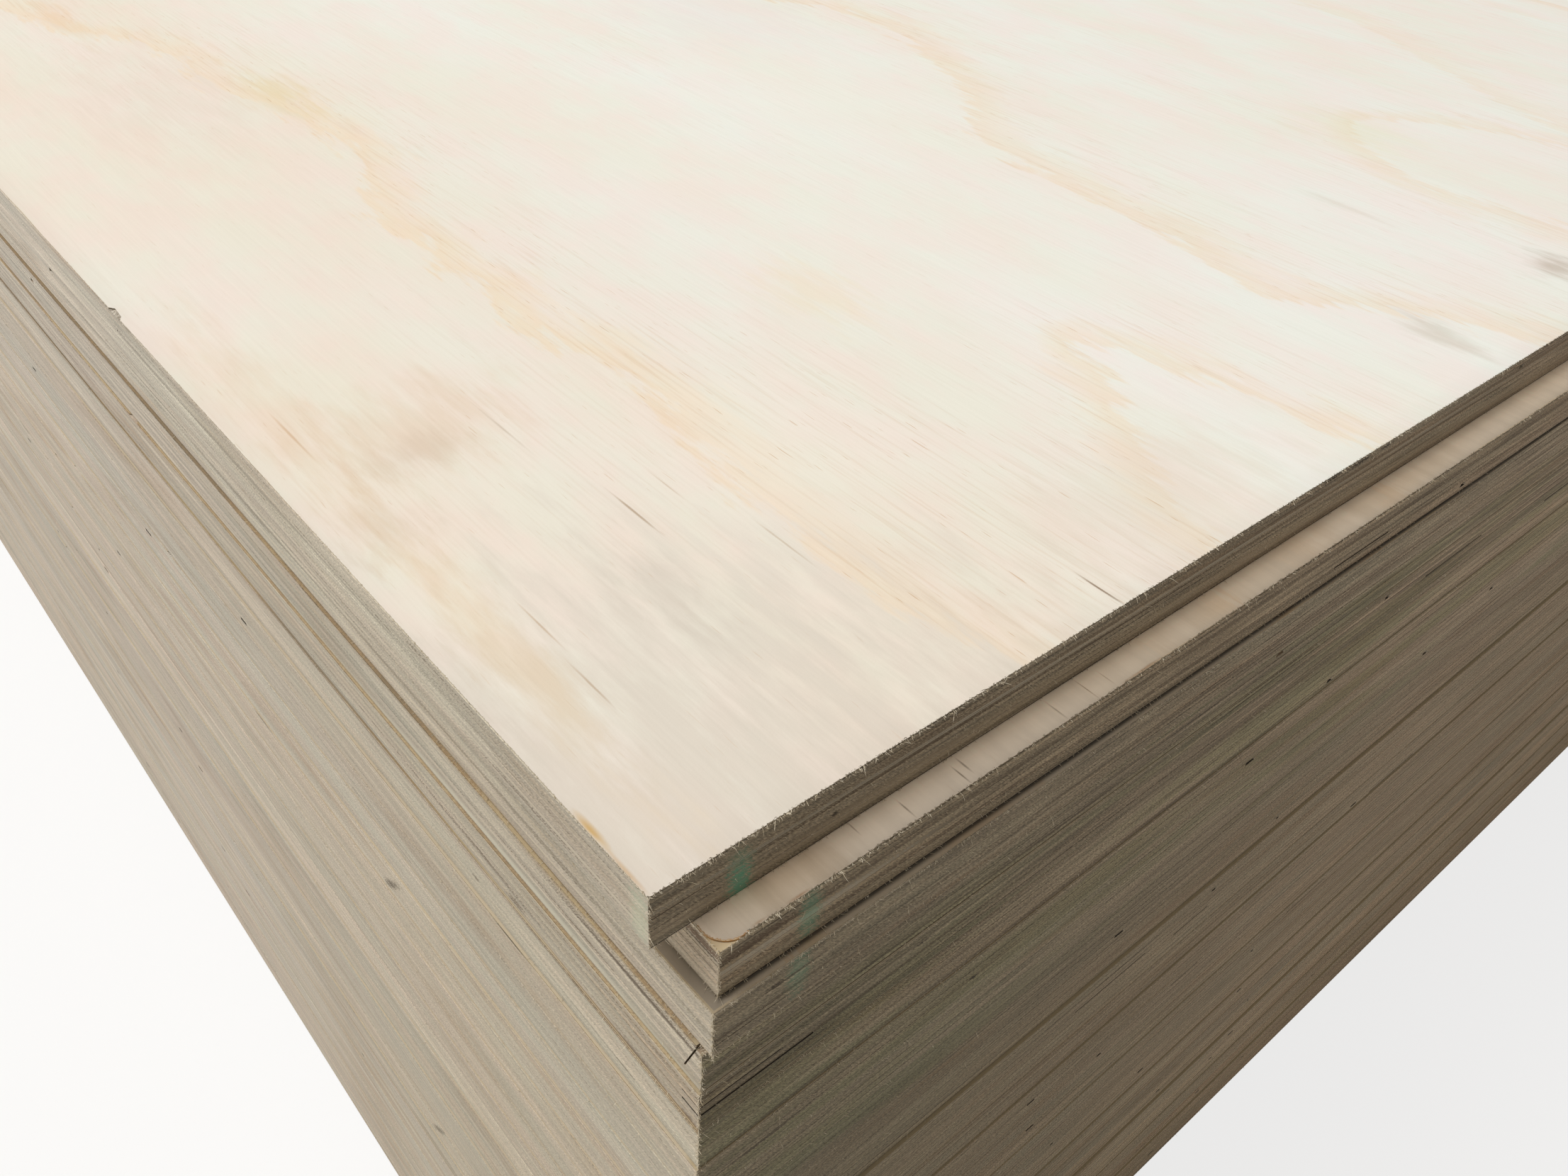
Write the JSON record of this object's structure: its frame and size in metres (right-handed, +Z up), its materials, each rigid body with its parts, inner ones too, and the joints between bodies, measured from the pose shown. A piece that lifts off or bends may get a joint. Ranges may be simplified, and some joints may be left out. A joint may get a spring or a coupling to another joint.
{
  "type": "stack of plywood sheets",
  "caption": "Flat stack of full-size pine-faced structural plywood sheets, with layered sawn edges, the top sheets pushed askew.",
  "frame": {"origin": "middle of the bottom sheet's underside, on the floor that the stack lies on", "axes": "+X along the sheets' length and face grain, +Y across their width, +Z up; the top sheets' steps show best at the corner at +X and -Y"},
  "size_m": [2.4546, 1.2417, 0.522],
  "materials": {
    "plywood": "unfinished pine face veneer, sawn edges with bare plies"
  },
  "bodies": {
    "root": {"sheet_01": "plywood", "sheet_02": "plywood", "sheet_03": "plywood", "sheet_04": "plywood", "sheet_05": "plywood", "sheet_06": "plywood", "sheet_07": "plywood", "sheet_08": "plywood", "sheet_09": "plywood", "sheet_10": "plywood", "sheet_11": "plywood", "sheet_12": "plywood", "sheet_13": "plywood", "sheet_14": "plywood", "sheet_15": "plywood", "sheet_16": "plywood", "sheet_17": "plywood", "sheet_18": "plywood", "sheet_19": "plywood", "sheet_20": "plywood", "sheet_21": "plywood", "sheet_22": "plywood", "sheet_23": "plywood", "sheet_24": "plywood", "sheet_25": "plywood", "sheet_26": "plywood", "sheet_27": "plywood", "sheet_28": "plywood", "sheet_29": "plywood"}
  },
  "joints": []
}
